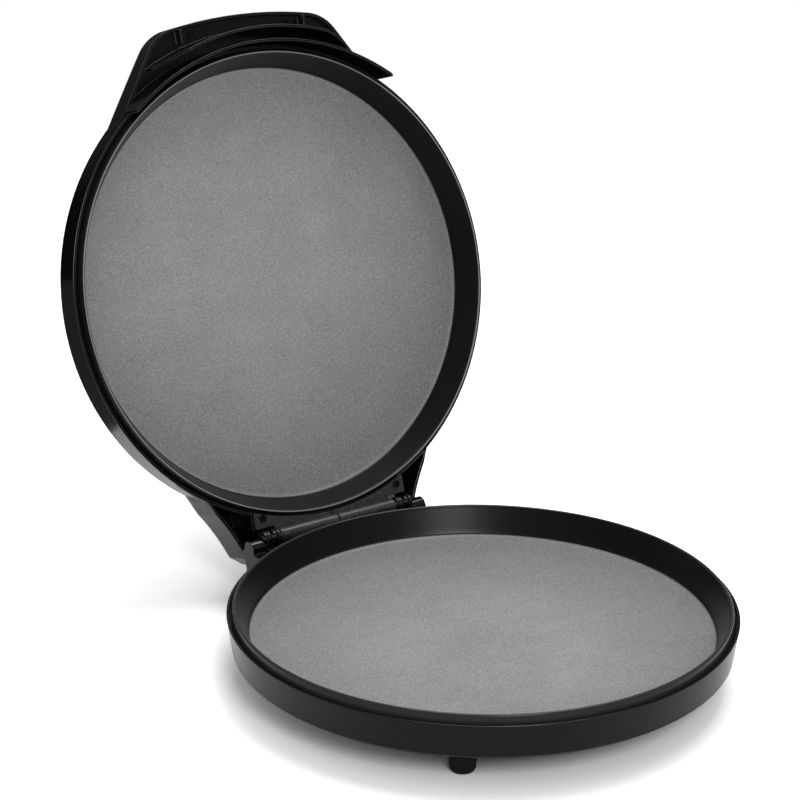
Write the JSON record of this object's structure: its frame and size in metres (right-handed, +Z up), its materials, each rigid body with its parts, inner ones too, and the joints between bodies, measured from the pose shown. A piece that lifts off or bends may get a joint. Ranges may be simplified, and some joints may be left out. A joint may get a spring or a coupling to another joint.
{
  "type": "electric pizza maker with hinged lid",
  "caption": "Round countertop pizza cooker, shown open: two shallow non-stick pans in gloss black casings joined by a barrel hinge, with a stepped handle on the lid.",
  "frame": {"origin": "centre of the bottom of the box round the open object, on the plane the feet stand on", "axes": "+Z up, -Y towards the user at the front of the base, +Y towards the hinge and the open lid, +X to the user's right"},
  "size_m": [0.328, 0.4624, 0.3828],
  "materials": {
    "casing_plastic": "smooth",
    "liner_plastic": "fine grain",
    "foot_plastic": "smooth",
    "non_stick_coating": "sprayed",
    "hinge_steel": "fine texture",
    "pin_steel": "ground",
    "screw_steel": "black oxide",
    "reflector_aluminium": "rolled",
    "element_steel": "annealed",
    "cover_steel": "powder coat",
    "thermostat_metal": "pressed",
    "fuse_sleeve": "woven glass",
    "ceramic": "glazed",
    "lamp_red": "clear",
    "lamp_green": "clear",
    "holder_plastic": "smooth"
  },
  "bodies": {
    "base": {"base_shell": "casing_plastic", "bottom_cover": "cover_steel", "bottom_cover_screws": "screw_steel", "lower_pan": "non_stick_coating", "lower_pan_screws": "screw_steel", "lower_element": "element_steel", "lower_reflector": "reflector_aluminium", "thermostat": "thermostat_metal", "thermal_fuse": "fuse_sleeve", "terminal_block": "ceramic", "cord_gland": "foot_plastic", "foot_front_left": "foot_plastic", "foot_front_right": "foot_plastic", "foot_rear_left": "foot_plastic", "foot_rear_right": "foot_plastic", "hinge_bracket_left": "hinge_steel", "hinge_bracket_right": "hinge_steel", "bracket_screws": "screw_steel", "hinge_pin_left": "pin_steel", "hinge_pin_right": "pin_steel"},
    "lid": {"lid_shell": "casing_plastic", "handle_liner": "liner_plastic", "liner_screws": "screw_steel", "upper_pan": "non_stick_coating", "upper_element": "element_steel", "upper_reflector": "reflector_aluminium", "lid_hinge_left": "hinge_steel", "lid_hinge_right": "hinge_steel", "lid_hinge_screws": "screw_steel", "power_lamp": "lamp_red", "ready_lamp": "lamp_green", "lamp_holder": "holder_plastic"}
  },
  "joints": [
    {"name": "lid_hinge", "type": "hinge", "parent": "base", "child": "lid", "pos_m": [0, 0.10129, 0.0468], "axis": [1, 0, 0], "range_deg": [0, 106.5]}
  ]
}
